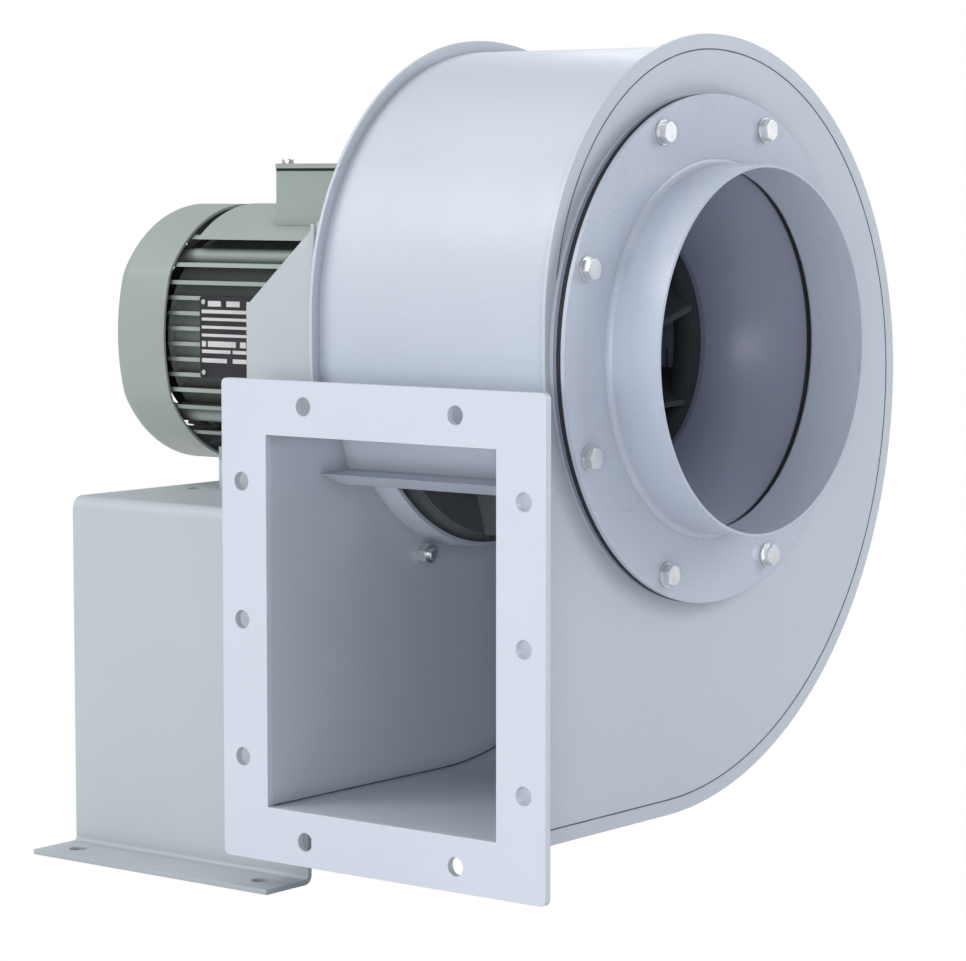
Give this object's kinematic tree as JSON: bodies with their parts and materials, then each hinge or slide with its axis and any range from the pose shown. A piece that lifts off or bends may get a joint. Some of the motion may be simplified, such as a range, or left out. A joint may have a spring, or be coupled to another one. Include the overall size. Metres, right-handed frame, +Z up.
{
  "type": "centrifugal fan",
  "caption": "Direct drive centrifugal fan: spiral sheet housing with round inlet collar and flanged rectangular outlet, bladed wheel and finned foot motor on a folded pedestal.",
  "frame": {"origin": "middle of the four floor holes of the pedestal, on the floor", "axes": "+X along the shaft from the motor to the inlet, -Y out of the outlet, +Z up"},
  "size_m": [0.5181, 0.472, 0.573],
  "materials": {
    "housing_paint": "semi-gloss baked paint, light blue grey",
    "ring_paint": "semi-gloss baked paint on spun sheet",
    "pedestal_paint": "satin baked paint, light grey",
    "motor_paint": "satin grey green paint on a casting",
    "cowl_paint": "satin grey green paint on pressed steel",
    "zinc": "bright zinc plate",
    "gasket_rubber": "matt black",
    "felt": "pressed wool felt",
    "wheel_paint": "satin baked paint",
    "ground_steel": "ground and oiled",
    "lamination": "varnished electrical steel",
    "cast_aluminium": "as cast",
    "winding": "varnished enamelled wire",
    "fan_plastic": "moulded, matt",
    "plate_black": "black with pale blank fields"
  },
  "bodies": {
    "root": {"pedestal": "pedestal_paint", "mounting_plate": "pedestal_paint", "gusset_front": "pedestal_paint", "gusset_rear": "pedestal_paint", "scroll_wrapper": "housing_paint", "drive_side_plate": "housing_paint", "inlet_side_plate": "housing_paint", "outlet_roof": "housing_paint", "cutoff_lip": "housing_paint", "outlet_flange": "housing_paint", "drive_inner_ring": "housing_paint", "drive_bolts": "zinc", "drive_nuts": "zinc", "inlet_backing_ring": "housing_paint", "inlet_ring": "ring_paint", "inlet_collar": "ring_paint", "inlet_gasket": "gasket_rubber", "inlet_cone": "ring_paint", "inlet_bolts": "zinc", "inlet_washers": "zinc", "inlet_nuts": "zinc", "shaft_seal_felt": "felt", "seal_retainer": "zinc", "seal_screws": "zinc", "stator_core": "lamination", "stator_windings": "winding", "motor_frame": "motor_paint", "drive_end_bell": "motor_paint", "rear_end_bell": "motor_paint", "bell_bolts": "zinc", "fan_cowl": "cowl_paint", "cowl_screws": "zinc", "drive_bearing_outer": "ground_steel", "rear_bearing_outer": "ground_steel", "bearing_balls": "ground_steel", "motor_riser_bars": "pedestal_paint", "motor_bolts": "zinc", "motor_nuts": "zinc", "conduit_box": "motor_paint", "conduit_box_gasket": "gasket_rubber", "conduit_box_lid": "cowl_paint", "conduit_lid_screws": "zinc", "nameplate": "plate_black", "nameplate_rivets": "zinc"},
    "rotor": {"wheel_backplate": "wheel_paint", "wheel_blades": "wheel_paint", "wheel_shroud": "wheel_paint", "wheel_hub": "wheel_paint", "hub_set_screws": "ground_steel", "hub_rivets": "ground_steel", "shaft_key": "ground_steel", "wheel_washer": "zinc", "wheel_screw": "zinc", "motor_shaft": "ground_steel", "rotor_core": "lamination", "rotor_cage_rings": "cast_aluminium", "cooling_fan": "fan_plastic", "drive_bearing_inner": "ground_steel", "rear_bearing_inner": "ground_steel"}
  },
  "joints": [
    {"name": "wheel_spin", "type": "hinge", "parent": "root", "child": "rotor", "pos_m": [0.14, 0, 0.362], "axis": [1, 0, 0], "continuous": true}
  ]
}
